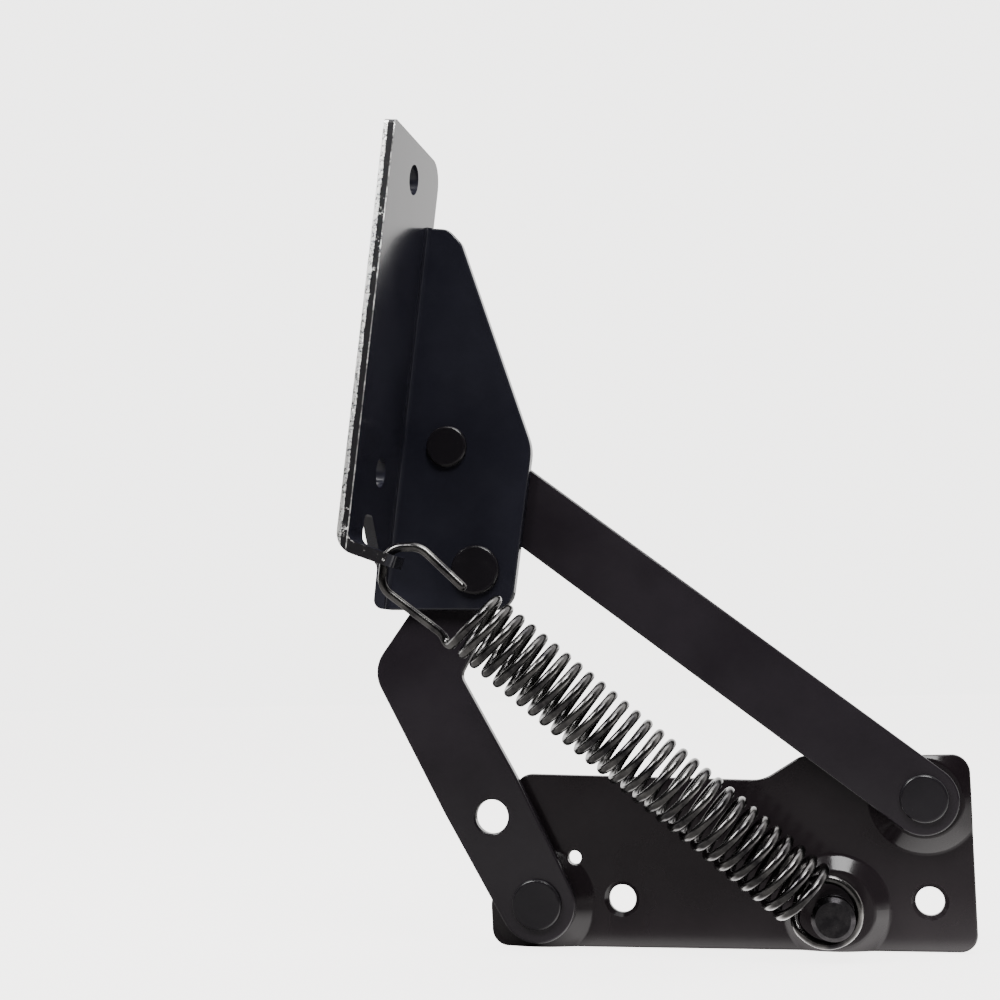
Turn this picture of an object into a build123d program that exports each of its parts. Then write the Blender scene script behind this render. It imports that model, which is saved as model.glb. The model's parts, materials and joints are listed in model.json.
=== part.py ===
"""Sofa bed hinge, right hand, open: a four-bar linkage in pressed steel with an extension spring.

Millimetres. X runs along the base plate, Z is up, and every piece stands out towards -Y from the
mounting face at y = 0. The origin is midway between the two base screw holes, on the mounting face.
"""

import math
import os

from build123d import *

# Sheet and the layers, as depths in front of the mounting face
SHEET = 3.0
BRACKET_SHEET = 3.4
BOSS_HEIGHT = 3.0
LAYER_GAP = 0.1
WEB_GAP = 0.2
BASE_FRONT = SHEET
BOSS_FRONT = BASE_FRONT + BOSS_HEIGHT
LINK_BACK = BOSS_FRONT + LAYER_GAP
LINK_FRONT = LINK_BACK + SHEET
WEB_BACK = LINK_FRONT + WEB_GAP
WEB_FRONT = WEB_BACK + BRACKET_SHEET

# Front edges that the punch rolls over
EDGE_ROLL = 0.6
ON_PLANE = 0.001

# Base plate, from its lower left corner
SCREW_SPACING = 88.0
SCREW_LEFT = 39.4
SCREW_Z = 14.0
SCREW_RADIUS = 4.0
SCREW_RIM = 1.2
PLATE_LENGTH = 140.0
PLATE_HEIGHT = 55.1
NARROW_LEFT = (9.0, 50.6)
SIDE_BREAK_HEIGHT = 12.5
NARROW_RIGHT_HEIGHT = 48.2
SLOPE_START = 81.5
SLOPE_END = 92.9
CORNER_RADIUS = 5.0
SMALL_HOLE = (25.5, 25.9)
SMALL_HOLE_RADIUS = 2.0

# The mount origin in the same measure
ORIGIN_X = SCREW_LEFT + SCREW_SPACING / 2
ORIGIN_Z = SCREW_Z


def at(x, z):
    """Turns a place measured from the plate's lower left corner into the part's own X and Z."""
    return (x - ORIGIN_X, z - ORIGIN_Z)


# Pivots
PIVOT_A = at(15.11, 12.93)
PIVOT_B = at(126.97, 43.12)
PIVOT_C = at(-8.92, 149.42)
PIVOT_D = at(-0.74, 111.68)
PIN_AT = at(101.2, 11.8)

# Bosses
BOSS_FOOT = 16.0
PIN_BOSS_FOOT = 15.2
BOSS_TOP = 11.0
POCKET_INSET = 0.8
BOSS_BLEND = 1.6

# Rivets
RIVET_SHANK = 4.0
RUNNING_FIT = 0.05
HEAD_HEIGHT = 1.5
HEAD_ROUND = 0.9
HEAD_A = 7.4
HEAD_B = 6.8
HEAD_C = 6.3
HEAD_D = 7.4
TAIL_RADIUS = 6.0
TAIL_HEIGHT = 1.4

# Short link
SHORT_END_A = 11.3
SHORT_END_D = 10.2
SHORT_LOWER_LEFT = at(-12.6, 39.4)
SHORT_ELBOW = at(-34.9, 82.6)
SHORT_INNER = at(-6.9, 80.2)
SHORT_UPPER_RIGHT = at(9.6, 50.2)
SHORT_LOWER_RIGHT = at(20.2, 28.6)
SHORT_HOLE = at(1.9, 38.4)
SHORT_HOLE_RADIUS = 5.0

# Long link: its end pads lie a little below the line of the pivots
LONG_END_B = 10.0
LONG_END_C = 10.3
LONG_DROP_B = 0.5
LONG_DROP_C = 1.0

# Seat bracket, in its own frame: u to the right of the flange, v up along it, from the lower pivot
LEAN = 7.5
FLANGE_INNER_U = -26.8
BEND_RADIUS = 1.3
FLANGE_TOP_V = 124.5
FLANGE_TOP_CORNER = 8.0
FLANGE_BACK_DEPTH = 6.5
FLANGE_FRONT_DEPTH = 55.3
FLANGE_HOLE_SPACING = 88.0
FLANGE_HOLE_LOW_V = 25.1
FLANGE_HOLE_DEPTH = FLANGE_FRONT_DEPTH - 23.3
FLANGE_HOLE_RADIUS = 4.5
SLOT_TOP_V = 12.0
SHOULDER = (24.0, 1.2)
BEND_BARE_V = -2.0
WEB_CORNER = 2.8
LUG_WIDTH = 13.0
LUG_BACK_DEPTH = FLANGE_FRONT_DEPTH - LUG_WIDTH
SLOT_WIDTH = 6.8
SLOT_BACK_DEPTH = LUG_BACK_DEPTH - SLOT_WIDTH
LUG_BEND_V = 5.8
LUG_BEND_RADIUS = 3.0
LUG_TURN = 77.0
LUG_REACH = 12.2
LUG_CORNER = 3.0
LUG_HOLE_ALONG = 8.5
LUG_HOLE_DEPTH = FLANGE_FRONT_DEPTH - 5.9
LUG_HOLE_RADIUS = 2.1
WEB_TOP_V = 103.6
WEB_TOP_RIGHT = (-15.8, 99.6)
WEB_BOTTOM_LEFT_V = -14.6
WEB_BOTTOM_RIGHT = (12.3, -10.8)
WEB_ELBOW = (13.2, 38.2)

# Spring
WIRE = 2.6
COIL_OUTER = 20.5
COIL_RADIUS = (COIL_OUTER - WIRE) / 2
COIL_TURNS = 28.4
EYE_DEPTH = 22.0
HOOK_DEPTH = LUG_HOLE_DEPTH
PIN_RADIUS = 6.0
PIN_GROOVE = 5.0
PIN_GROOVE_HALF = 1.7
PIN_END = 26.8
PIN_CHAMFER = 1.2
COIL_START = at(93.47, 18.20)
COIL_START_DEPTH = 22.3
COIL_END = at(6.08, 95.33)
COIL_END_DEPTH = HOOK_DEPTH - 4.6
PULL = (-0.7645, 0.6446)
WIRE_GAP = 0.05
EYE_PLAY = 0.1
EYE_WRAP = 0.26
EYE_STEP = 2.4
EYE_FROM = 230.0
EYE_TO = 478.0
EYE_LEAVE = 4.2
EYE_BENDS = [0.86 * COIL_RADIUS, 6.0, 5.0]
HOOK_LEAD = 4.4
HOOK_LEG = at(-2.15, 91.8)
HOOK_LEG_DEPTH = HOOK_DEPTH - 3.1
HOOK_CORNERS = [at(-18.96, 105.24), at(-17.46, 116.31), at(-7.4, 116.25), at(5.4, 103.9)]
HOOK_BENDS = [2.6, 5.0, 5.6, 5.5, 7.0]



def face_at(depth):
    """The plane at a depth in front of the mounting face, looking towards the viewer."""
    return Plane.XZ.offset(depth)


def slab(sketch, back, front):
    """Extrudes a flat shape in X and Z between two depths."""
    return extrude(face_at(back) * sketch, amount=front - back)


def disc(centre, radius, back, front):
    """A round solid across the sheet, between two depths."""
    return slab(Pos(*centre) * Circle(radius), back, front)


def outline(corners):
    """A flat shape from (x, z, fillet radius) corners in order."""
    edges = []
    count = len(corners)
    joins = []
    for i in range(count):
        x, z, radius = corners[i]
        before = Vector(corners[i - 1][0] - x, corners[i - 1][1] - z).normalized()
        after_corner = corners[(i + 1) % count]
        after = Vector(after_corner[0] - x, after_corner[1] - z).normalized()
        here = Vector(x, z)
        if radius <= 0:
            joins.append((here, None, here))
            continue
        half = math.acos(max(-1.0, min(1.0, before.dot(after)))) / 2
        reach = radius / math.tan(half)
        middle = (before + after).normalized() * (radius / math.sin(half) - radius)
        joins.append((here + before * reach, here + middle, here + after * reach))
    for i in range(count):
        start, middle, end = joins[i]
        if middle is not None:
            edges.append(ThreePointArc(start, middle, end))
        following = joins[(i + 1) % count][0]
        if (following - end).length > 1e-6:
            edges.append(Line(end, following))
    return make_face(edges)


def tangent_touch(point, centre, radius, side):
    """Where a line from a point touches a circle; side is +1 or -1."""
    dx, dz = centre[0] - point[0], centre[1] - point[1]
    distance = math.hypot(dx, dz)
    angle = math.atan2(dz, dx) + side * math.asin(radius / distance)
    reach = math.sqrt(distance * distance - radius * radius)
    return (point[0] + reach * math.cos(angle), point[1] + reach * math.sin(angle))


def turned(profile, centre):
    """Revolves (radius, depth, fillet) corners about an axis across the sheet."""
    shape = outline([(r, -depth, fillet_radius) for r, depth, fillet_radius in profile])
    plane = Plane(origin=(centre[0], 0, centre[1]), x_dir=(1, 0, 0), z_dir=(0, 0, 1))
    return revolve(plane * shape, Axis((centre[0], 0, centre[1]), (0, 1, 0)), 360)


def boss_shape(centre, foot):
    """The raised part of a boss, blended into the plate's front."""
    skirt = foot + 2 * BOSS_BLEND
    profile = [
        (0, BASE_FRONT - 0.5, 0),
        (skirt, BASE_FRONT - 0.5, 0),
        (skirt, BASE_FRONT, 0),
        (foot, BASE_FRONT, BOSS_BLEND),
        (BOSS_TOP, BOSS_FRONT, BOSS_BLEND),
        (0, BOSS_FRONT, 0),
    ]
    return turned(profile, centre)


def pocket_shape(centre, foot):
    """The hollow behind a boss."""
    profile = [
        (0, 0, 0),
        (foot - POCKET_INSET, 0, 0),
        (BOSS_TOP - POCKET_INSET, BOSS_HEIGHT, BOSS_BLEND / 2),
        (0, BOSS_HEIGHT, 0),
    ]
    return turned(profile, centre)


def lies_on(circles):
    """A test for edges that lie on one of some circles (centre, radius)."""

    def near(point, centre, radius):
        return abs(math.hypot(point.X - centre[0], point.Z - centre[1]) - radius) < EDGE_ROLL

    return lambda edge: any(all(near(edge @ t, *circle) for t in (0, 0.5, 1)) for circle in circles)


def rolled(sheet, depth, spared):
    """Rounds a sheet's front edges, as a punch leaves them, apart from the edges that the test spares."""

    def is_rolled(edge):
        return all(abs((edge @ t).Y + depth) < ON_PLANE for t in (0, 0.5, 1)) and not spared(edge)

    return sheet.fillet(EDGE_ROLL, sheet.edges().filter_by(is_rolled))


def make_base():
    """The pressed plate with three bosses and their pockets."""
    corners = [
        (*at(0, 0), CORNER_RADIUS),
        (*at(PLATE_LENGTH, 0), CORNER_RADIUS),
        (*at(PLATE_LENGTH, PLATE_HEIGHT), CORNER_RADIUS),
        (*at(SLOPE_END, PLATE_HEIGHT), CORNER_RADIUS),
        (*at(SLOPE_START, NARROW_RIGHT_HEIGHT), 2 * CORNER_RADIUS),
        (*at(*NARROW_LEFT), CORNER_RADIUS),
        (*at(0, SIDE_BREAK_HEIGHT), CORNER_RADIUS),
    ]
    shape = outline(corners)
    plate = slab(shape, 0, BASE_FRONT)
    limit = slab(shape, 0, BOSS_FRONT + 1)
    bosses = [(PIVOT_A, BOSS_FOOT), (PIVOT_B, BOSS_FOOT), (PIN_AT, PIN_BOSS_FOOT)]
    for centre, foot in bosses:
        plate += limit & boss_shape(centre, foot)
    for centre, foot in bosses:
        plate -= pocket_shape(centre, foot)
        plate -= disc(centre, RIVET_SHANK, 0, BOSS_FRONT)
    for x in (-SCREW_SPACING / 2, SCREW_SPACING / 2):
        hole = [
            (0, 0, 0),
            (SCREW_RADIUS, 0, 0),
            (SCREW_RADIUS, BASE_FRONT - SCREW_RIM, SCREW_RIM / 2),
            (SCREW_RADIUS + SCREW_RIM, BASE_FRONT, 0),
            (0, BASE_FRONT, 0),
        ]
        plate -= turned(hole, (x, 0))
    plate -= disc(at(*SMALL_HOLE), SMALL_HOLE_RADIUS, 0, BOSS_FRONT)
    screw_rims = [((x, 0), SCREW_RADIUS + SCREW_RIM) for x in (-SCREW_SPACING / 2, SCREW_SPACING / 2)]
    return rolled(plate, BASE_FRONT, lies_on(bosses + screw_rims))


def make_short_link():
    """The bent link between the left boss and the bracket."""
    touch_a_left = tangent_touch(SHORT_LOWER_LEFT, PIVOT_A, SHORT_END_A, -1)
    touch_a_right = tangent_touch(SHORT_LOWER_RIGHT, PIVOT_A, SHORT_END_A, 1)
    touch_d_left = tangent_touch(SHORT_ELBOW, PIVOT_D, SHORT_END_D, 1)
    touch_d_right = tangent_touch(SHORT_INNER, PIVOT_D, SHORT_END_D, -1)
    body = outline(
        [
            (*PIVOT_A, 0),
            (*touch_a_right, 0),
            (*SHORT_LOWER_RIGHT, 40),
            (*SHORT_UPPER_RIGHT, 120),
            (*SHORT_INNER, 3.2),
            (*touch_d_right, 0),
            (*PIVOT_D, 0),
            (*touch_d_left, 0),
            (*SHORT_ELBOW, 10),
            (*SHORT_LOWER_LEFT, 0),
            (*touch_a_left, 0),
        ]
    )
    shape = body + Pos(*PIVOT_A) * Circle(SHORT_END_A) + Pos(*PIVOT_D) * Circle(SHORT_END_D)
    link = slab(shape, LINK_BACK, LINK_FRONT)
    link -= disc(PIVOT_A, RIVET_SHANK + RUNNING_FIT, LINK_BACK, LINK_FRONT)
    link -= disc(PIVOT_D, RIVET_SHANK + RUNNING_FIT, LINK_BACK, LINK_FRONT)
    link -= disc(SHORT_HOLE, SHORT_HOLE_RADIUS, LINK_BACK, LINK_FRONT)
    return rolled(link, LINK_FRONT, lies_on([(PIVOT_A, RIVET_SHANK), (PIVOT_D, RIVET_SHANK)]))


def make_long_link():
    """The straight link between the right boss and the bracket."""
    dx, dz = PIVOT_C[0] - PIVOT_B[0], PIVOT_C[1] - PIVOT_B[1]
    length = math.hypot(dx, dz)
    down = (-dz / length, dx / length)
    pad_b = (PIVOT_B[0] + down[0] * LONG_DROP_B, PIVOT_B[1] + down[1] * LONG_DROP_B)
    pad_c = (PIVOT_C[0] + down[0] * LONG_DROP_C, PIVOT_C[1] + down[1] * LONG_DROP_C)
    shape = make_hull((Pos(*pad_b) * Circle(LONG_END_B) + Pos(*pad_c) * Circle(LONG_END_C)).edges())
    link = slab(shape, LINK_BACK, LINK_FRONT)
    link -= disc(PIVOT_B, RIVET_SHANK + RUNNING_FIT, LINK_BACK, LINK_FRONT)
    link -= disc(PIVOT_C, RIVET_SHANK, LINK_BACK, LINK_FRONT)
    return rolled(link, LINK_FRONT, lies_on([(PIVOT_B, RIVET_SHANK), (PIVOT_C, RIVET_SHANK)]))


def bracket_plane():
    """The bracket's own frame: u, v and the depth."""
    lean = math.radians(LEAN)
    return Plane(
        origin=(PIVOT_D[0], 0, PIVOT_D[1]),
        x_dir=(math.cos(lean), 0, -math.sin(lean)),
        z_dir=(0, -1, 0),
    )


def bracket_slab(shape, back, front):
    """Extrudes a flat shape in u and v between two depths."""
    return extrude(bracket_plane().offset(back) * shape, amount=front - back)


def make_bracket():
    """The bracket: web, flange and the bent lug, from one sheet."""
    start_u = FLANGE_INNER_U + BEND_RADIUS
    bend_depth = WEB_FRONT + BEND_RADIUS
    web_shape = outline(
        [
            (start_u, WEB_BOTTOM_LEFT_V, 0),
            (*WEB_BOTTOM_RIGHT, 6.0),
            (*WEB_ELBOW, 14),
            (*WEB_TOP_RIGHT, 6),
            (WEB_TOP_RIGHT[0] - 4.5, WEB_TOP_V, 5),
            (start_u, WEB_TOP_V, 0),
        ]
    )
    frame = bracket_plane()
    web = rolled(
        bracket_slab(web_shape, WEB_BACK, WEB_FRONT),
        WEB_FRONT,
        lambda edge: abs(frame.to_local_coords(edge @ 0.5).X - start_u) < ON_PLANE,
    )
    side = outline(
        [
            (bend_depth, WEB_TOP_V, 0),
            (FLANGE_BACK_DEPTH, WEB_TOP_V, 0),
            (FLANGE_BACK_DEPTH, FLANGE_TOP_V, FLANGE_TOP_CORNER),
            (FLANGE_FRONT_DEPTH, FLANGE_TOP_V, 1.5),
            (FLANGE_FRONT_DEPTH, LUG_BEND_V, 0),
            (LUG_BACK_DEPTH, LUG_BEND_V, 0),
            (LUG_BACK_DEPTH, SLOT_TOP_V, 2.5),
            (SLOT_BACK_DEPTH, SLOT_TOP_V, 2.5),
            (*SHOULDER, 3.0),
            (bend_depth + 0.6, BEND_BARE_V, 2.0),
            (bend_depth, WEB_BOTTOM_LEFT_V, 0),
        ]
    )
    side_plane = Plane(
        origin=frame.from_local_coords((FLANGE_INNER_U, 0, 0)), x_dir=(0, -1, 0), z_dir=-frame.x_dir
    )
    flange = extrude(side_plane * side, amount=BRACKET_SHEET)
    bracket = web + bracket_bend(start_u, bend_depth) + flange + make_lug()
    for v in (FLANGE_HOLE_LOW_V, FLANGE_HOLE_LOW_V + FLANGE_HOLE_SPACING):
        hole = side_plane * (Pos(FLANGE_HOLE_DEPTH, v) * Circle(FLANGE_HOLE_RADIUS))
        bracket -= extrude(hole, amount=BRACKET_SHEET)
    bracket -= disc(PIVOT_C, RIVET_SHANK, WEB_BACK, WEB_FRONT)
    bracket -= disc(PIVOT_D, RIVET_SHANK, WEB_BACK, WEB_FRONT)
    outer_u = FLANGE_INNER_U - BRACKET_SHEET
    corner = Pos(outer_u + WEB_CORNER / 2, WEB_BOTTOM_LEFT_V + WEB_CORNER / 2) * Rectangle(WEB_CORNER, WEB_CORNER)
    corner -= Pos(outer_u + WEB_CORNER, WEB_BOTTOM_LEFT_V + WEB_CORNER) * Circle(WEB_CORNER)
    return bracket - bracket_slab(corner, WEB_BACK - 1, bend_depth + 1)


def bracket_bend(start_u, bend_depth):
    """The quarter bend between web and flange."""
    frame = bracket_plane()
    base = frame.from_local_coords((start_u, WEB_BOTTOM_LEFT_V, bend_depth))
    section_plane = Plane(origin=base, x_dir=frame.x_dir, z_dir=frame.y_dir)
    outer = BEND_RADIUS + BRACKET_SHEET
    ring = Circle(outer) - Circle(BEND_RADIUS)
    quarter = Pos(-outer / 2, outer / 2) * Rectangle(outer, outer)
    return extrude(section_plane * (ring & quarter), amount=WEB_TOP_V - WEB_BOTTOM_LEFT_V)


def make_lug():
    """The strip's bent end that carries the spring, with a hole for the hook."""
    turn = math.radians(LUG_TURN)
    inner = LUG_BEND_RADIUS
    outer = LUG_BEND_RADIUS + BRACKET_SHEET
    centre = Vector(FLANGE_INNER_U + inner, LUG_BEND_V)
    radial = Vector(-math.cos(turn), -math.sin(turn))
    half = Vector(-math.cos(turn / 2), -math.sin(turn / 2))
    ahead = Vector(math.sin(turn), -math.cos(turn))
    inner_end = centre + radial * inner
    outer_end = centre + radial * outer
    edges = [
        ThreePointArc(centre - Vector(outer, 0), centre + half * outer, outer_end),
        Line(outer_end, outer_end + ahead * LUG_REACH),
        Line(outer_end + ahead * LUG_REACH, inner_end + ahead * LUG_REACH),
        Line(inner_end + ahead * LUG_REACH, inner_end),
        ThreePointArc(inner_end, centre + half * inner, centre - Vector(inner, 0)),
        Line(centre - Vector(inner, 0), centre - Vector(outer, 0)),
    ]
    strip = bracket_slab(make_face(edges), LUG_BACK_DEPTH, FLANGE_FRONT_DEPTH)
    frame = bracket_plane()
    lug_plane = Plane(
        origin=frame.from_local_coords(inner_end),
        x_dir=frame.x_dir * ahead.X + frame.y_dir * ahead.Y,
        z_dir=frame.x_dir * radial.X + frame.y_dir * radial.Y,
    )
    across = 1 if lug_plane.y_dir.Y < 0 else -1
    blank = outline(
        [
            (-12, across * LUG_BACK_DEPTH, 0),
            (LUG_REACH, across * LUG_BACK_DEPTH, LUG_CORNER),
            (LUG_REACH, across * FLANGE_FRONT_DEPTH, LUG_CORNER),
            (-12, across * FLANGE_FRONT_DEPTH, 0),
        ]
    )
    blank -= Pos(LUG_HOLE_ALONG, across * LUG_HOLE_DEPTH) * Circle(LUG_HOLE_RADIUS)
    keep = extrude(lug_plane.offset(-30) * blank, amount=60)
    return strip & keep


def make_rivet(centre, head, tail_back, shank_back, head_back):
    """A rivet: a tail at the back, a shank and a low round head at the front."""
    front = head_back + HEAD_HEIGHT
    profile = [
        (0, tail_back, 0),
        (TAIL_RADIUS, tail_back, 0.5),
        (TAIL_RADIUS, shank_back, 0),
        (RIVET_SHANK, shank_back, 0),
        (RIVET_SHANK, head_back, 0),
        (head, head_back, 0),
        (head, front, HEAD_ROUND),
        (0, front, 0),
    ]
    return turned(profile, centre)


def make_split_rivet():
    """The upper seat rivet in two parts, so that the linkage can be opened at this pivot."""
    tail_back = LINK_BACK - LAYER_GAP - TAIL_HEIGHT
    tail = [
        (0, tail_back, 0),
        (TAIL_RADIUS, tail_back, 0.5),
        (TAIL_RADIUS, LINK_BACK, 0),
        (RIVET_SHANK, LINK_BACK, 0),
        (RIVET_SHANK, LINK_FRONT, 0),
        (0, LINK_FRONT, 0),
    ]
    front = WEB_FRONT + HEAD_HEIGHT
    head = [
        (0, WEB_BACK, 0),
        (RIVET_SHANK, WEB_BACK, 0),
        (RIVET_SHANK, WEB_FRONT, 0),
        (HEAD_C, WEB_FRONT, 0),
        (HEAD_C, front, HEAD_ROUND),
        (0, front, 0),
    ]
    return turned(head, PIVOT_C), turned(tail, PIVOT_C)


def make_pin():
    """The grooved pin that the spring's eye hooks over."""
    profile = [
        (0, BASE_FRONT - TAIL_HEIGHT, 0),
        (TAIL_RADIUS, BASE_FRONT - TAIL_HEIGHT, 0.5),
        (TAIL_RADIUS, BASE_FRONT, 0),
        (RIVET_SHANK, BASE_FRONT, 0),
        (RIVET_SHANK, BOSS_FRONT, 0),
        (PIN_RADIUS, BOSS_FRONT, 0),
        (PIN_RADIUS, EYE_DEPTH - PIN_GROOVE_HALF, 0.4),
        (PIN_GROOVE, EYE_DEPTH - PIN_GROOVE_HALF, 0.3),
        (PIN_GROOVE, EYE_DEPTH + PIN_GROOVE_HALF, 0.3),
        (PIN_RADIUS, EYE_DEPTH + PIN_GROOVE_HALF, 0.4),
        (PIN_RADIUS, PIN_END - PIN_CHAMFER, 0),
        (PIN_RADIUS - PIN_CHAMFER, PIN_END, 0),
        (0, PIN_END, 0),
    ]
    return turned(profile, PIN_AT)


def wire_along(path):
    """Sweeps the wire's section along a path."""
    return sweep(Plane(origin=path @ 0, z_dir=path % 0) * Circle(WIRE / 2), path)


def coil_frame():
    """The coil's ends, its axis, and the two directions across it."""
    start = Vector(COIL_START[0], -COIL_START_DEPTH, COIL_START[1])
    end = Vector(COIL_END[0], -COIL_END_DEPTH, COIL_END[1])
    axis = (end - start).normalized()
    across = Vector(0, 1, 0).cross(axis).normalized()
    return start, end, axis, across, axis.cross(across)


def coil_point(turn):
    """A point of the wire's centre line, counted in turns from the coil's lower end."""
    start, end, _, across, other = coil_frame()
    angle = 2 * math.pi * turn
    centre = start + (end - start) * (turn / COIL_TURNS)
    return centre + across * (COIL_RADIUS * math.cos(angle)) - other * (COIL_RADIUS * math.sin(angle))


def coil_heading(turn):
    """The way the wire runs at a turn of the coil, towards its upper end."""
    start, end, _, across, other = coil_frame()
    angle = 2 * math.pi * turn
    round_axis = across * math.sin(angle) + other * math.cos(angle)
    return ((end - start) / COIL_TURNS - round_axis * (2 * math.pi * COIL_RADIUS)).normalized()


def make_coil():
    """The open-wound body of the spring, left-handed, in spans of about one turn."""
    start, end, axis, across, _ = coil_frame()
    spans = round(COIL_TURNS)
    turns = COIL_TURNS / spans
    rise = (end - start).length / spans
    plane = Plane(origin=start, x_dir=across, z_dir=axis)
    path = []
    for k in range(spans):
        span = Helix(rise / turns, rise, COIL_RADIUS, lefthand=True)
        path += (plane * Pos(0, 0, rise * k) * Rot(0, 0, -360 * turns * k) * span).edges()
    return wire_along(Wire(path))


def make_eye():
    """The loop round the pin's groove and its bend from the coil."""
    pull = Vector(PULL[0], 0, PULL[1])
    centre = Vector(PIN_AT[0], -EYE_DEPTH, PIN_AT[1])
    centre += pull * (COIL_RADIUS - WIRE / 2 - PIN_GROOVE - EYE_PLAY)
    plane = Plane(origin=centre, x_dir=(1, 0, 0), z_dir=(0, -1, 0))
    loop = plane * CenterArc((0, 0), COIL_RADIUS, EYE_FROM, EYE_TO - EYE_FROM)
    start = coil_point(0) - coil_heading(0) * WIRE_GAP
    corners = [
        start,
        start - coil_heading(0) * (COIL_RADIUS * math.tan(math.pi * EYE_WRAP)),
        coil_point(-EYE_WRAP) - coil_heading(-EYE_WRAP) * EYE_STEP,
        loop @ 0 - (loop % 0) * EYE_LEAVE,
        loop @ 0,
    ]
    lead = FilletPolyline(*corners, radius=EYE_BENDS)
    return wire_along(Wire(lead.edges() + loop.edges()))


def make_hook():
    """The long leg, the hook through the lug's hole and its tail."""
    start = coil_point(COIL_TURNS) + coil_heading(COIL_TURNS) * WIRE_GAP
    corners = [start, start + coil_heading(COIL_TURNS) * HOOK_LEAD]
    corners.append(Vector(HOOK_LEG[0], -HOOK_LEG_DEPTH, HOOK_LEG[1]))
    corners += [Vector(x, -HOOK_DEPTH, z) for x, z in HOOK_CORNERS]
    return wire_along(FilletPolyline(*corners, radius=HOOK_BENDS))


def make_parts():
    """Every node by name."""
    head_c, tail_c = make_split_rivet()
    pocket_tail = BASE_FRONT - TAIL_HEIGHT
    link_head = LINK_FRONT + LAYER_GAP
    seat_tail = LINK_BACK - LAYER_GAP
    return {
        "base_plate": make_base(),
        "short_link": make_short_link(),
        "long_link": make_long_link(),
        "seat_bracket": make_bracket(),
        "rivet_base_left": make_rivet(PIVOT_A, HEAD_A, pocket_tail, BASE_FRONT, link_head),
        "rivet_base_right": make_rivet(PIVOT_B, HEAD_B, pocket_tail, BASE_FRONT, link_head),
        "rivet_seat_lower": make_rivet(PIVOT_D, HEAD_D, seat_tail - TAIL_HEIGHT, seat_tail, WEB_FRONT),
        "rivet_seat_upper": head_c,
        "rivet_seat_upper_tail": tail_c,
        "spring_pin": make_pin(),
        "spring_eye": make_eye(),
        "spring_coil": make_coil(),
        "spring_hook": make_hook(),
    }


os.makedirs("parts", exist_ok=True)
for name, shape in make_parts().items():
    export_step(shape, f"parts/{name}.step")
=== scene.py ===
"""Sofa bed hinge, right hand, open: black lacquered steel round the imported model, with a steel spring."""

import json
import logging
import math
from dataclasses import dataclass
from enum import Enum

import bpy
import numpy as np
from mathutils import Matrix, Vector


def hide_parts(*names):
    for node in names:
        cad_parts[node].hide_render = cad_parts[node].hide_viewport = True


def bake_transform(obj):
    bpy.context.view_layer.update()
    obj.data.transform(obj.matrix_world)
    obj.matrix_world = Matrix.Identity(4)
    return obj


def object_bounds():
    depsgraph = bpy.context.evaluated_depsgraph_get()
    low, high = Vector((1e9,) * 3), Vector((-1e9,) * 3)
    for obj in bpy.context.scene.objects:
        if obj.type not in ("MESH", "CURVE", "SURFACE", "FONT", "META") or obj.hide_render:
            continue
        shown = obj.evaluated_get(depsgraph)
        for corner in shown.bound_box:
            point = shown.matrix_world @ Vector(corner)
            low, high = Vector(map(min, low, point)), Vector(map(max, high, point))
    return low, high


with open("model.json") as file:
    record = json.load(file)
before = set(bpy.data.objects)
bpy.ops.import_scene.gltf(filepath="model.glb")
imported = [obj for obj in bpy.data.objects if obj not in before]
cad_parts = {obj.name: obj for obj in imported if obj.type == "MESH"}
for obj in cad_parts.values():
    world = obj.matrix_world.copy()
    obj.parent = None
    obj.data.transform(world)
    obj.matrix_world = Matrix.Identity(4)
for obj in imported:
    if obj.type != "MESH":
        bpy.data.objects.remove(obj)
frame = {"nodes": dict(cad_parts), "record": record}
CAD_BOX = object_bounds()
LOG = logging.getLogger("sofa_bed_hinge")
MM = 0.001
PHOTO_WIDTH = 1000
START_DIRECTION = (0.31, 0.83, 0.46)
CAP_SWELL = (0.55, 0.85)


class Slot(Enum):
    """The record's finishes."""

    BASE = "base_coat"
    LINK = "link_coat"
    BRACKET = "bracket_coat"
    RIVET = "rivet_coat"
    PIN = "pin_steel"
    SPRING = "spring_wire"


class Part(Enum):
    """The names of the spring's two bodies."""

    SPRING_LOWER = "spring_lower"
    SPRING_UPPER = "spring_upper"


@dataclass(frozen=True)
class Pattern:
    """A cloudy pattern: the size of its patches, how many finer layers it has, and how strong those are."""

    size_mm: float
    detail: float
    roughness: float = 0.5


class Value:
    """A number carried by a shader socket, with the arithmetic that the finishes use."""

    def __init__(self, maker: "Shader", socket: bpy.types.NodeSocket):
        """Wraps a socket.

        Args:
            maker: The shader that the socket belongs to.
            socket: The output that carries the number.
        """
        self.maker = maker
        self.socket = socket

    def _with(self, operation: str, *others: "Value | float", clamp: bool = False) -> "Value":
        """Adds one Math node.

        Args:
            operation: The Math node's operation.
            others: Its other operands.
            clamp: Whether the result is kept from 0 to 1.

        Returns:
            The node's result.
        """
        settings = {"operation": operation, "use_clamp": clamp}
        node = self.maker.node("ShaderNodeMath", settings, dict(enumerate((self, *others))))
        return Value(self.maker, node.outputs[0])

    def __add__(self, other: "Value | float") -> "Value":
        """Sum."""
        return self._with("ADD", other)

    def __sub__(self, other: "Value | float") -> "Value":
        """Difference."""
        return self._with("SUBTRACT", other)

    def __mul__(self, other: "Value | float") -> "Value":
        """Product."""
        return self._with("MULTIPLY", other)

    def __rsub__(self, other: float) -> "Value":
        """A number less this value."""
        return (self * -1.0) + other

    __radd__ = __add__
    __rmul__ = __mul__

    def step(self, low: float, high: float) -> "Value":
        """A soft step.

        Args:
            low: Where the result leaves 0.
            high: Where it reaches 1.

        Returns:
            0 before low, 1 after high, and a straight ramp between them.
        """
        return (self - low)._with("MULTIPLY", 1.0 / (high - low), clamp=True)


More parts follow.
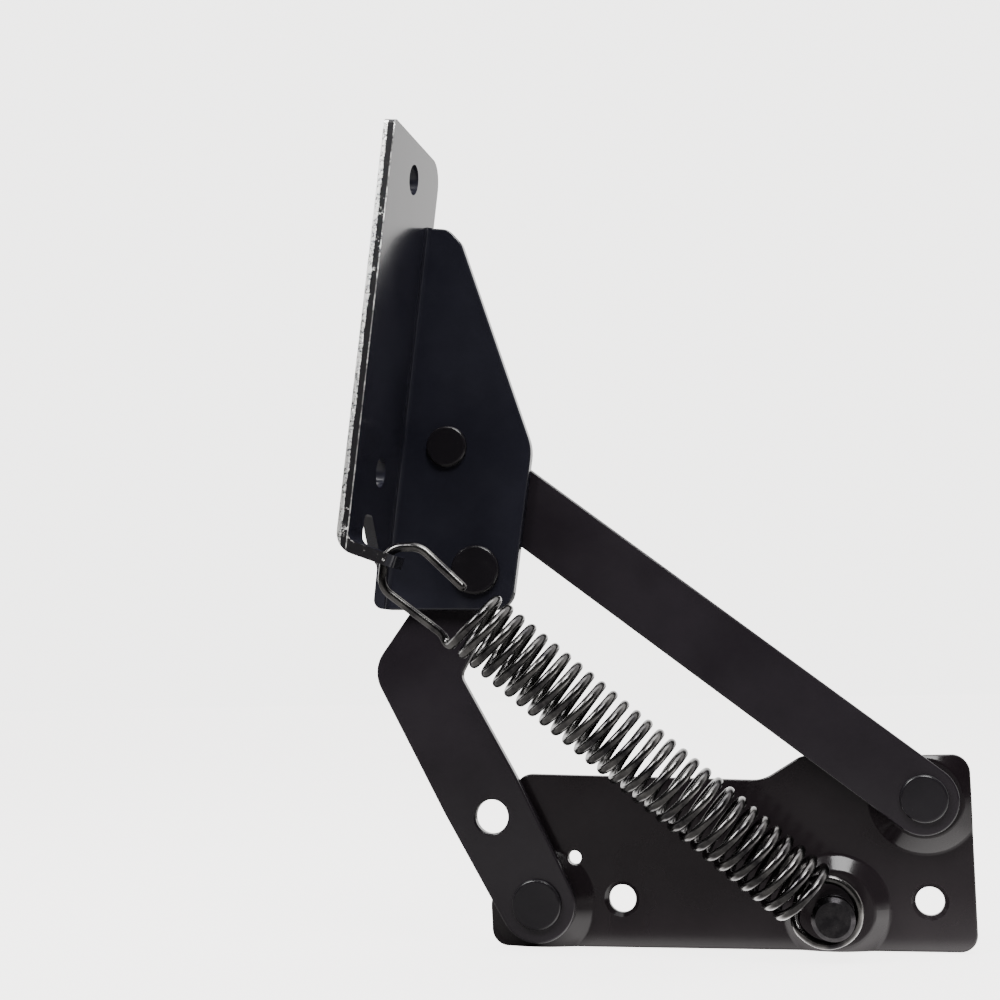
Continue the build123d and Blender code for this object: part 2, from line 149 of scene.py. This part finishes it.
class Shader:
    """Builds one material or world."""

    def __init__(self, tree: bpy.types.NodeTree):
        """Empties a node tree.

        Args:
            tree: The tree to fill.
        """
        self.tree = tree
        tree.nodes.clear()

    def node(self, kind: str, settings: dict | None = None, inputs: dict | None = None) -> bpy.types.Node:
        """Adds a node.

        Args:
            kind: The node's type.
            settings: Its own properties, set first; "ramp" holds a ramp's (place, colour) stops.
            inputs: Values or links by socket name or number.

        Returns:
            The node.
        """
        made = self.tree.nodes.new(kind)
        for name, value in (settings or {}).items():
            if name == "ramp":
                self._fill_ramp(made.color_ramp, value)
            else:
                setattr(made, name, value)
        for name, value in (inputs or {}).items():
            self.put(made.inputs[name], value)
        return made

    @staticmethod
    def _fill_ramp(ramp: bpy.types.ColorRamp, stops: tuple) -> None:
        """Sets a ramp's stops.

        Args:
            ramp: The ramp.
            stops: (place, colour) pairs in order.
        """
        while len(ramp.elements) < len(stops):
            ramp.elements.new(0.5)
        for element, (place, colour) in zip(ramp.elements, stops):
            element.position = place
            element.color = (*colour, 1.0)

    def put(self, socket: bpy.types.NodeSocket, value: object) -> None:
        """Sets or links a socket.

        Args:
            socket: The input.
            value: A Value, an output socket, or a plain value.
        """
        if isinstance(value, Value):
            value = value.socket
        if isinstance(value, bpy.types.NodeSocket):
            self.tree.links.new(value, socket)
        else:
            socket.default_value = value

    def place(self) -> tuple[bpy.types.NodeSocket, Value, Value, Value]:
        """The object's own coordinates, in metres, as a vector and as three numbers."""
        vector = self.node("ShaderNodeTexCoord").outputs["Object"]
        parts = self.node("ShaderNodeSeparateXYZ", None, {0: vector}).outputs
        return (vector, *(Value(self, part) for part in parts))

    def noise(self, vector: bpy.types.NodeSocket, pattern: Pattern) -> Value:
        """A cloudy pattern from 0 to 1.

        Args:
            vector: The place it reads, in metres.
            pattern: Its settings.

        Returns:
            The pattern.
        """
        inputs = {
            "Vector": vector,
            "Scale": 1.0 / (pattern.size_mm * MM),
            "Detail": pattern.detail,
            "Roughness": pattern.roughness,
        }
        return Value(self, self.node("ShaderNodeTexNoise", None, inputs).outputs["Fac"])

    def grey(self, level: Value, tint: tuple) -> bpy.types.NodeSocket:
        """A colour of one tint whose brightness changes.

        Args:
            level: The brightness, which may pass 1.
            tint: Linear red, green and blue.

        Returns:
            The colour.
        """
        channels = dict(enumerate(level * channel for channel in tint))
        return self.node("ShaderNodeCombineXYZ", None, channels).outputs[0]

    def between(self, factor: Value, low: tuple, high: tuple) -> bpy.types.NodeSocket:
        """A colour between two.

        Args:
            factor: 0 for low and 1 for high.
            low: Linear red, green and blue.
            high: Linear red, green and blue.

        Returns:
            The mixed colour.
        """
        mix = self.node("ShaderNodeMix", {"data_type": "RGBA"}, {"Factor": factor})
        colours = [socket for socket in mix.inputs if socket.type == "RGBA"]
        for socket, colour in zip(colours, (low, high)):
            self.put(socket, (*colour, 1.0) if isinstance(colour, tuple) else colour)
        return next(socket for socket in mix.outputs if socket.type == "RGBA")

    def bump(
        self, height: Value, depth_mm: float, normal: bpy.types.NodeSocket | None = None
    ) -> bpy.types.NodeSocket:
        """A bumped normal.

        Args:
            height: The height from 0 to 1.
            depth_mm: What 1 stands for.
            normal: The normal it works on.

        Returns:
            The new normal.
        """
        inputs = {"Height": height, "Distance": depth_mm * MM}
        if normal is not None:
            inputs["Normal"] = normal
        return self.node("ShaderNodeBump", None, inputs).outputs["Normal"]


def new_material(name: str) -> tuple[bpy.types.Material, Shader]:
    """An empty material.

    Args:
        name: Its name.

    Returns:
        The material and its shader.
    """
    material = bpy.data.materials.new(name)
    material.use_nodes = True
    return material, Shader(material.node_tree)


def finish_surface(shader: Shader, inputs: dict) -> None:
    """Adds the surface shader and the output.

    Args:
        shader: The shader to finish.
        inputs: The Principled BSDF's inputs.
    """
    surface = shader.node("ShaderNodeBsdfPrincipled", None, inputs)
    shader.node("ShaderNodeOutputMaterial", None, {"Surface": surface.outputs["BSDF"]})


@dataclass(frozen=True)
class ShearedEdge:
    """The flange's sheared free edge: a dark band, torn and bright along its outer corner."""

    depth_mm: float = 55.3
    depth_blend_mm: tuple[float, float] = (0.35, 0.10)
    sheet_mm: tuple[float, float] = (-126.37, -122.97)
    lean: float = 7.5
    torn: Pattern = Pattern(0.9, 5.0, 0.75)
    torn_reach_mm: float = 1.2
    torn_depth_mm: float = 0.12
    patch: Pattern = Pattern(6.0, 3.0, 0.6)
    patch_reach_mm: float = 0.6
    burr_mm: tuple[float, float] = (0.25, 0.55)
    rim_start_mm: tuple[float, float] = (-0.35, -0.2)
    rim_end_mm: tuple[float, float] = (-0.05, 0.05)
    rim_patches: tuple[float, float] = (0.46, 0.58)
    rim_gain: float = 0.8
    rim_least: float = 0.15
    chip_step: tuple[float, float] = (0.59, 0.64)
    chip_gain: float = 0.8
    steel_step: tuple[float, float] = (0.40, 0.50)
    worn_steel: tuple[float, float, float] = (0.08, 0.08, 0.085)
    bright_steel: tuple[float, float, float] = (0.98, 0.97, 0.95)
    band_colour: tuple[float, float, float] = (0.006, 0.0055, 0.0065)
    added_roughness: float = 0.10

    def inputs(
        self,
        shader: Shader,
        place: tuple[bpy.types.NodeSocket, Value, Value, Value],
        colour: bpy.types.NodeSocket,
        rough: Value,
        normal: bpy.types.NodeSocket,
    ) -> dict:
        """Lays the bare edge over a coat.

        Args:
            shader: The shader.
            place: The object's coordinates, as a vector and as three numbers.
            colour: The coat's colour.
            rough: The coat's roughness.
            normal: The coat's normal.

        Returns:
            The surface inputs that change.
        """
        vector, right, depth, height = place
        outer, inner = self.sheet_mm
        lean = math.radians(self.lean)
        across = right * (math.cos(lean) / MM) + height * (-math.sin(lean) / MM)
        edge = (depth * -1.0).step(*((self.depth_mm - blend) * MM for blend in self.depth_blend_mm))
        torn = shader.noise(vector, self.torn)
        patch = shader.noise(vector, self.patch)
        ragged = across + (torn * -self.torn_reach_mm) + (patch * -self.patch_reach_mm)
        burr = 1.0 - ragged.step(*(outer + reach for reach in self.burr_mm))
        rim_start = across.step(*(inner + reach for reach in self.rim_start_mm))
        rim = rim_start * (1.0 - across.step(*(inner + reach for reach in self.rim_end_mm)))
        line = rim * (patch.step(*self.rim_patches) * self.rim_gain + self.rim_least)
        chips = (torn * 0.5 + patch * 0.5).step(*self.chip_step)
        bright = (burr + line + chips * self.chip_gain)._with("MULTIPLY", edge, clamp=True)
        steel = shader.between(torn.step(*self.steel_step), self.worn_steel, self.bright_steel)
        band = shader.between(edge, colour, self.band_colour)
        return {
            "Base Color": shader.between(bright, band, steel),
            "Metallic": bright,
            "Roughness": rough + edge * self.added_roughness,
            "Normal": shader.bump(torn * bright, self.torn_depth_mm, normal),
        }


@dataclass(frozen=True)
class Lacquer:
    """Glossy black dip lacquer over pressed steel, a little uneven, with a bare sheared edge where given."""

    name: str
    colour: tuple[float, float, float]
    roughness: float = 0.20
    bare: ShearedEdge | None = None
    specular: float = 0.26
    coat: float = 0.12
    coat_roughness: float = 0.08
    cloud: Pattern = Pattern(26.0, 3.0)
    cloud_step: tuple[float, float] = (0.35, 0.65)
    cloud_gain: float = 1.25
    cloud_lift: float = 0.002
    cloud_rough: float = 0.07
    grain: Pattern = Pattern(0.9, 3.0, 0.6)
    grain_rough: float = 0.04
    grain_wave: float = 0.10
    dust: Pattern = Pattern(2.2, 6.0, 0.7)
    dust_step: tuple[float, float] = (0.60, 0.78)
    dust_rough: float = 0.08
    smoother: float = 0.06
    wave: Pattern = Pattern(9.0, 2.0)
    wave_mm: float = 0.015

    def make(self) -> bpy.types.Material:
        """Builds the material.

        Returns:
            The material.
        """
        material, shader = new_material(self.name)
        place = shader.place()
        vector = place[0]
        cloud = shader.noise(vector, self.cloud)
        grain = shader.noise(vector, self.grain)
        dust = shader.noise(vector, self.dust).step(*self.dust_step)
        lighter = tuple(channel * self.cloud_gain + self.cloud_lift for channel in self.colour)
        colour = shader.between(cloud.step(*self.cloud_step), self.colour, lighter)
        uneven = cloud * self.cloud_rough + grain * self.grain_rough + dust * self.dust_rough
        rough = uneven + (self.roughness - self.smoother)
        normal = shader.bump(shader.noise(vector, self.wave) + grain * self.grain_wave, self.wave_mm)
        inputs = {
            "Base Color": colour,
            "Roughness": rough,
            "Normal": normal,
            "Metallic": 0.0,
            "IOR": 1.5,
            "Specular IOR Level": self.specular,
            "Coat Weight": self.coat,
            "Coat Roughness": self.coat_roughness,
        }
        if self.bare is not None:
            inputs.update(self.bare.inputs(shader, place, colour, rough, normal))
        finish_surface(shader, inputs)
        return material


@dataclass(frozen=True)
class Wire:
    """Dark drawn spring steel, oiled, with fine lines along the wire."""

    name: str = "spring steel"
    dark: tuple[float, float, float] = (0.024, 0.023, 0.025)
    light: tuple[float, float, float] = (0.110, 0.107, 0.104)
    roughness: float = 0.21
    patch: Pattern = Pattern(7.0, 4.0, 0.65)
    patch_step: tuple[float, float] = (0.36, 0.66)
    patch_rough: float = 0.06
    fine: Pattern = Pattern(0.5, 3.0, 0.6)
    fine_rough: float = 0.02
    fine_depth_mm: float = 0.002

    def make(self) -> bpy.types.Material:
        """Builds the material.

        Returns:
            The material.
        """
        material, shader = new_material(self.name)
        vector, *_ = shader.place()
        patch = shader.noise(vector, self.patch)
        fine = shader.noise(vector, self.fine)
        middle = (self.patch_rough + self.fine_rough) / 2
        finish_surface(
            shader,
            {
                "Base Color": shader.between(patch.step(*self.patch_step), self.dark, self.light),
                "Roughness": patch * self.patch_rough + fine * self.fine_rough + (self.roughness - middle),
                "Metallic": 1.0,
                "Normal": shader.bump(fine, self.fine_depth_mm),
            },
        )
        return material


@dataclass(frozen=True)
class TurnedSteel:
    """The pin's turned steel, blackened and worn."""

    name: str = "turned pin"
    dark: tuple[float, float, float] = (0.016, 0.015, 0.017)
    light: tuple[float, float, float] = (0.034, 0.032, 0.034)
    roughness: float = 0.24
    metallic: float = 0.9
    worn: Pattern = Pattern(3.0, 5.0, 0.7)
    worn_step: tuple[float, float] = (0.40, 0.62)
    worn_rough: float = 0.2
    worn_depth_mm: float = 0.03

    def make(self) -> bpy.types.Material:
        """Builds the material.

        Returns:
            The material.
        """
        material, shader = new_material(self.name)
        vector, *_ = shader.place()
        worn = shader.noise(vector, self.worn)
        finish_surface(
            shader,
            {
                "Base Color": shader.between(worn.step(*self.worn_step), self.dark, self.light),
                "Roughness": worn * self.worn_rough + (self.roughness - self.worn_rough / 2),
                "Metallic": self.metallic,
                "Normal": shader.bump(worn, self.worn_depth_mm),
            },
        )
        return material


def unit(vector: np.ndarray) -> np.ndarray:
    """The same direction with a length of 1.

    Args:
        vector: Any vector.

    Returns:
        The direction.
    """
    return vector / np.linalg.norm(vector)


def rounded_line(corners: list[np.ndarray], radii: tuple[float, ...], step: float = 0.1) -> np.ndarray:
    """Straight runs joined by arcs that touch them.

    Args:
        corners: The corners of the runs, with both ends.
        radii: The bend's radius at each inner corner.
        step: The length between places on an arc.

    Returns:
        The line's points.
    """
    pieces = [corners[0][None]]
    for before, corner, after, radius in zip(corners, corners[1:], corners[2:], radii):
        arrive, leave = unit(corner - before), unit(after - corner)
        turn = math.acos(float(arrive @ leave))
        inward = unit(leave - (arrive @ leave) * arrive)
        start = corner - arrive * (radius * math.tan(turn / 2))
        angle = np.linspace(0.0, turn, max(3, round(radius * turn / step)))[:, None]
        pieces.append(start + radius * (np.sin(angle) * arrive + (1 - np.cos(angle)) * inward))
    return np.vstack([*pieces, corners[-1][None]])


def even_line(points: np.ndarray, step: float) -> np.ndarray:
    """The same line cut into equal steps of length.

    Args:
        points: The line's points.
        step: The wanted step.

    Returns:
        The new points.
    """
    length = np.concatenate([[0.0], np.cumsum(np.linalg.norm(np.diff(points, axis=0), axis=1))])
    places = np.linspace(0.0, length[-1], max(2, round(length[-1] / step)) + 1)
    return np.stack([np.interp(places, length, points[:, axis]) for axis in range(3)], axis=1)


def untwisted_frames(points: np.ndarray) -> tuple[np.ndarray, np.ndarray]:
    """Two directions across a line at each point that don't turn about it.

    A first pair comes from a fixed direction; the turn between each pair and the one before it, carried
    along the line's bend, is measured, and its running sum is turned back.

    Args:
        points: The line's points.

    Returns:
        The two directions at each point.
    """
    along = np.gradient(points, axis=0)
    along /= np.linalg.norm(along, axis=1, keepdims=True)
    fixed = np.array(START_DIRECTION)
    side = fixed - (along @ fixed)[:, None] * along
    side /= np.linalg.norm(side, axis=1, keepdims=True)
    other = np.cross(along, side)
    turn_axis = np.cross(along[:-1], along[1:])
    cosine = np.sum(along[:-1] * along[1:], axis=1, keepdims=True)
    share = np.sum(turn_axis * side[:-1], axis=1, keepdims=True) / (1.0 + cosine)
    carried = side[:-1] * cosine + np.cross(turn_axis, side[:-1]) + turn_axis * share
    turn = np.arctan2(np.sum(carried * other[1:], axis=1), np.sum(carried * side[1:], axis=1))
    angle = np.concatenate([[0.0], np.cumsum(turn)])[:, None]
    return side * np.cos(angle) + other * np.sin(angle), other * np.cos(angle) - side * np.sin(angle)


def tube(name: str, points: np.ndarray, radius: float, sides: int) -> bpy.types.Object:
    """A round wire along a line, with rounded ends.

    Args:
        name: The object's name.
        points: The line's points.
        radius: The wire's radius.
        sides: How many faces go round it.

    Returns:
        The object.
    """
    side, other = untwisted_frames(points)
    swell = np.ones(len(points))
    cap = np.array(CAP_SWELL)
    swell[: len(cap)], swell[-len(cap) :] = cap, cap[::-1]
    angle = np.linspace(0.0, 2 * np.pi, sides, endpoint=False)
    ring = side[:, None, :] * np.cos(angle)[None, :, None] + other[:, None, :] * np.sin(angle)[None, :, None]
    grid = points[:, None, :] + ring * (radius * swell)[:, None, None]
    vertices = np.vstack([grid.reshape(-1, 3), points[:1], points[-1:]])
    row = np.arange(len(points) - 1)[:, None] * sides
    column = np.arange(sides)[None, :]
    following = (column + 1) % sides
    quads = np.stack([row + column, row + following, row + sides + following, row + sides + column], axis=-1)
    first, last = len(vertices) - 2, len(vertices) - 1
    end_row = (len(points) - 1) * sides
    around, ahead = column[0], following[0]
    start_fan = np.stack([np.full(sides, first), ahead, around], axis=1)
    end_fan = np.stack([np.full(sides, last), end_row + around, end_row + ahead], axis=1)
    mesh = bpy.data.meshes.new(name)
    faces = quads.reshape(-1, 4).tolist() + np.vstack([start_fan, end_fan]).tolist()
    mesh.from_pydata(vertices.tolist(), [], faces)
    mesh.shade_smooth()
    made = bpy.data.objects.new(name, mesh)
    bpy.context.collection.objects.link(made)
    return made


@dataclass
class ExtensionSpring:
    """The left-handed extension spring, bent from one wire: an eye on the pin, the coil, and a long hook."""

    wire: float = 2.6
    coil_radius: float = 8.95
    turns: float = 28.4
    coil_start: tuple[float, float, float] = (10.07, -22.3, 4.2)
    coil_end: tuple[float, float, float] = (-77.32, -44.8, 81.33)
    pin: tuple[float, float, float] = (17.8, -22.0, -2.2)
    pin_groove: float = 5.0
    eye_play: float = 0.1
    pull: tuple[float, float, float] = (-0.7645, 0.0, 0.6446)
    eye_wrap: float = 0.26
    eye_step: float = 2.4
    eye_from: float = 230.0
    eye_to: float = 478.0
    eye_leave: float = 4.2
    eye_bends: tuple[float, ...] = (7.697, 6.0, 5.0)
    hook_lead: float = 4.4
    hook_bends: tuple[float, ...] = (2.6, 5.0, 5.6, 5.5, 7.0)
    hook_corners: tuple[tuple[float, float, float], ...] = (
        (-85.55, -46.3, 77.8),
        (-102.36, -49.4, 91.24),
        (-100.86, -49.4, 102.31),
        (-90.8, -49.4, 102.25),
        (-78.0, -49.4, 89.9),
    )
    arc_step: float = 0.1
    step: float = 0.45
    sides: int = 16

    def _across(self) -> tuple[np.ndarray, np.ndarray, np.ndarray]:
        """The coil's rise in one turn, and the two directions across its axis."""
        rise = (np.array(self.coil_end) - np.array(self.coil_start)) / self.turns
        across = unit(np.cross((0.0, 1.0, 0.0), rise))
        return rise, across, np.cross(unit(rise), across)

    def _coil(self, turn: np.ndarray) -> np.ndarray:
        """Places on the coil: round its axis by the turn, and along it in step.

        Args:
            turn: Turns from the lower end.

        Returns:
            The places.
        """
        rise, across, other = self._across()
        angle = 2 * np.pi * turn[:, None]
        centre = np.array(self.coil_start) + rise * turn[:, None]
        return centre + self.coil_radius * (across * np.cos(angle) - other * np.sin(angle))

    def _leaving(self, turn: float) -> tuple[np.ndarray, np.ndarray]:
        """Where the wire is at a turn, and the way it runs towards the upper end.

        Args:
            turn: Turns from the lower end.

        Returns:
            The place and the direction.
        """
        rise, across, other = self._across()
        angle = 2 * math.pi * turn
        round_axis = across * math.sin(angle) + other * math.cos(angle)
        return self._coil(np.array([turn]))[0], unit(rise - round_axis * (2 * math.pi * self.coil_radius))

    def _eye(self) -> np.ndarray:
        """Places from the coil to the eye's free end: a bend, then a loop that leans on the pin's groove."""
        reach = self.coil_radius - self.wire / 2 - self.pin_groove - self.eye_play
        centre = np.array(self.pin) + np.array(self.pull) * reach
        count = round(self.coil_radius * math.radians(self.eye_to - self.eye_from) / self.arc_step)
        angle = np.radians(np.linspace(self.eye_from, self.eye_to, count))
        loop = centre + np.stack([np.cos(angle), 0 * angle, np.sin(angle)], axis=1) * self.coil_radius
        start, heading = self._leaving(0.0)
        back, back_heading = self._leaving(-self.eye_wrap)
        corners = [
            start,
            start - heading * (self.coil_radius * math.tan(math.pi * self.eye_wrap)),
            back - back_heading * self.eye_step,
            loop[0] - unit(loop[1] - loop[0]) * self.eye_leave,
            loop[0],
        ]
        return np.vstack([rounded_line(corners, self.eye_bends, self.arc_step), loop[1:]])

    def _hook(self) -> np.ndarray:
        """Places from the coil along the leg, through the lug's hole and to the tail."""
        start, heading = self._leaving(self.turns)
        leaving = [start, start + heading * self.hook_lead]
        corners = leaving + [np.array(corner) for corner in self.hook_corners]
        return rounded_line(corners, self.hook_bends, self.arc_step)

    def centre_line(self) -> np.ndarray:
        """The wire's centre line in metres, in equal steps."""
        per_turn = round(2 * math.pi * self.coil_radius / self.arc_step)
        coil = self._coil(np.linspace(0.0, self.turns, round(per_turn * self.turns)))
        return even_line(np.vstack([self._eye()[::-1], coil, self._hook()]), self.step) * MM

    def make(self, finish: bpy.types.Material) -> bpy.types.Object:
        """Builds the wire and hides the imported spring pieces.

        Args:
            finish: The wire's material.

        Returns:
            The wire.
        """
        wire = tube("spring_wire", self.centre_line(), self.wire / 2 * MM, self.sides)
        wire.data.materials.append(finish)
        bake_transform(wire)
        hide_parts("spring_eye", "spring_coil", "spring_hook")
        return wire


@dataclass
class PressedParts:
    """The plate, links, bracket, rivets and pin, dressed with their coats."""

    coats: dict[str, bpy.types.Material]

    def dress(self) -> int:
        """Puts each node's coat on it.

        Returns:
            How many nodes were dressed.
        """
        done = 0
        for entry in frame["record"]["subparts"]:
            coat = self.coats.get(entry["material_slot"])
            node = frame["nodes"][entry["node"]]
            if coat is None or node.hide_render:
                continue
            node.data.materials.clear()
            node.data.materials.append(coat)
            done += 1
        return done


@dataclass(frozen=True)
class Camera:
    """The photograph's viewpoint, in millimetres and radians."""

    place: tuple[float, float, float] = (37.978, -503.016, 63.978)
    yaw: float = -0.2286
    pitch: float = 0.1078
    roll: float = -0.0202
    focal_px: float = 1685.87
    sensor: float = 36.0
    clip_m: tuple[float, float] = (0.01, 50.0)

    def make(self) -> bpy.types.Object:
        """Adds the camera and makes it the scene's.

        Returns:
            The camera.
        """
        data = bpy.data.cameras.new("camera")
        data.sensor_width = self.sensor
        data.lens = self.focal_px / PHOTO_WIDTH * self.sensor
        data.clip_start, data.clip_end = self.clip_m
        made = bpy.data.objects.new("camera", data)
        bpy.context.collection.objects.link(made)
        level = Vector((math.cos(self.yaw), -math.sin(self.yaw), 0.0))
        ahead = Vector((math.sin(self.yaw), math.cos(self.yaw), 0.0))
        up = Vector((0.0, 0.0, 1.0))
        forward = ahead * math.cos(self.pitch) + up * math.sin(self.pitch)
        above = up * math.cos(self.pitch) - ahead * math.sin(self.pitch)
        right = level * math.cos(self.roll) + above * math.sin(self.roll)
        top = above * math.cos(self.roll) - level * math.sin(self.roll)
        turned = Matrix((right, top, -forward)).transposed().to_4x4()
        made.matrix_world = Matrix.Translation(Vector(self.place) * MM) @ turned
        bpy.context.scene.camera = made
        return made


@dataclass(frozen=True)
class Lamp:
    """A soft rectangular lamp, in millimetres."""

    name: str
    place: tuple[float, float, float]
    aim: tuple[float, float, float]
    size: tuple[float, float]
    watts: float
    colour: tuple[float, float, float] = (1.0, 1.0, 1.0)

    def make(self) -> bpy.types.Object:
        """Adds the lamp.

        Returns:
            The lamp.
        """
        data = bpy.data.lights.new(self.name, "AREA")
        data.shape = "RECTANGLE"
        data.size, data.size_y = (side * MM for side in self.size)
        data.energy = self.watts
        data.color = self.colour
        made = bpy.data.objects.new(self.name, data)
        bpy.context.collection.objects.link(made)
        toward = (Vector(self.aim) - Vector(self.place)).normalized()
        turned = toward.to_track_quat("-Z", "Y").to_matrix().to_4x4()
        made.matrix_world = Matrix.Translation(Vector(self.place) * MM) @ turned
        return made


@dataclass(frozen=True)
class Studio:
    """The pale floor, the soft lamps and the room's light."""

    paper: tuple[float, float, float] = (0.20, 0.196, 0.192)
    glow: tuple[float, float, float] = (1.0, 0.98, 0.965)
    floor_size: float = 12000.0
    floor_gap: float = 0.4
    paper_seen: float = 3.8
    room_seen: float = 4.1
    near_glow: float = 5.0
    near_depth: tuple[float, float] = (-0.030, -0.014)
    near_left: tuple[float, float] = (-0.070, -0.055)
    right_glow: float = 2.6
    right_side: tuple[float, float] = (0.02, 0.08)
    right_depth: tuple[float, float] = (-0.14, -0.05)
    glow_end: tuple[float, float] = (-0.006, 0.0)
    room_tint: tuple[float, float, float] = (0.98, 0.965, 0.95)
    room_behind: tuple[float, float] = (-0.25, 0.35)
    room_levels: tuple[float, float] = (0.05, 2.4)
    lamps: tuple[Lamp, ...] = (
        Lamp("key", (180.0, -560.0, 1000.0), (-40.0, 0.0, 60.0), (460.0, 460.0), 21.0),
        Lamp("left", (-560.0, -560.0, 760.0), (-40.0, 0.0, 80.0), (400.0, 400.0), 17.0),
        Lamp("top", (0.0, 100.0, 1100.0), (0.0, 0.0, 80.0), (900.0, 600.0), 8.0),
    )

    def make(self) -> None:
        """Builds the floor, the lamps and the world."""
        self._floor()
        for lamp in self.lamps:
            lamp.make()
        self._world()

    def _floor(self) -> None:
        """A flat floor just under the plate's lower edge; it glows evenly where the camera sees it, and
        glows in two patches that the gloss mirrors as painted reflections.
        """
        half = self.floor_size / 2 * MM
        level = CAD_BOX[0].z - self.floor_gap * MM
        corners = [(-half, -half, level), (half, -half, level), (half, half, level), (-half, half, level)]
        mesh = bpy.data.meshes.new("floor")
        mesh.from_pydata(corners, [], [(0, 1, 2, 3)])
        floor = bpy.data.objects.new("floor", mesh)
        bpy.context.collection.objects.link(floor)
        material, shader = new_material("paper floor")
        seen = Value(shader, shader.node("ShaderNodeLightPath").outputs["Is Camera Ray"])
        _, right, depth, _ = shader.place()
        # Painted light: for rays other than the camera's, the floor glows only in two patches, one just
        # before the plate and one to its right, which the gloss mirrors as bright reflections on the boss
        # flanks and on the plate's right side.
        before_plate = 1.0 - depth.step(*self.glow_end)
        near = depth.step(*self.near_depth) * before_plate * right.step(*self.near_left)
        beside = right.step(*self.right_side) * depth.step(*self.right_depth) * before_plate
        mirrored = near * self.near_glow + beside * self.right_glow
        finish_surface(
            shader,
            {
                "Base Color": (*self.paper, 1.0),
                "Roughness": 0.9,
                "Specular IOR Level": 0.2,
                "Emission Color": shader.grey(seen * self.paper_seen + (1.0 - seen) * mirrored, self.glow),
                "Emission Strength": 1.0,
            },
        )
        mesh.materials.append(material)

    def _world(self) -> None:
        """An even pale room, seen as paper, and darker behind the camera for what the gloss mirrors."""
        world = bpy.data.worlds.new("studio")
        bpy.context.scene.world = world
        world.use_nodes = True
        shader = Shader(world.node_tree)
        direction = shader.node("ShaderNodeTexCoord").outputs["Generated"]
        parts = shader.node("ShaderNodeSeparateXYZ", None, {0: direction}).outputs
        behind = Value(shader, parts["Y"]).step(*self.room_behind)
        darkest, gain = self.room_levels
        room = behind * gain + darkest
        seen = Value(shader, shader.node("ShaderNodeLightPath").outputs["Is Camera Ray"])
        strength = room * (1.0 - seen) + seen * self.room_seen
        inputs = {"Color": (*self.room_tint, 1.0), "Strength": strength}
        light = shader.node("ShaderNodeBackground", None, inputs)
        shader.node("ShaderNodeOutputWorld", None, {"Surface": light.outputs[0]})


def main() -> None:
    """Builds the scene in order."""
    logging.basicConfig(level=logging.INFO, format="%(name)s: %(message)s")
    coats = {
        Slot.BASE.value: Lacquer("base lacquer", (0.0050, 0.0036, 0.0044), specular=0.14).make(),
        Slot.LINK.value: Lacquer("link lacquer", (0.0080, 0.0064, 0.0082), specular=0.21).make(),
        Slot.BRACKET.value: Lacquer("bracket lacquer", (0.0075, 0.0075, 0.0115), bare=ShearedEdge()).make(),
        Slot.RIVET.value: Lacquer("rivet lacquer", (0.0060, 0.0052, 0.0064), 0.24, specular=0.15).make(),
        Slot.PIN.value: TurnedSteel().make(),
    }
    spring = ExtensionSpring().make(Wire().make())
    LOG.info("spring wire with %d faces", len(spring.data.polygons))
    LOG.info("%d pieces dressed", PressedParts(coats).dress())
    Studio().make()
    Camera().make()
    LOG.info("studio and camera ready")


if __name__ == "__main__":
    main()
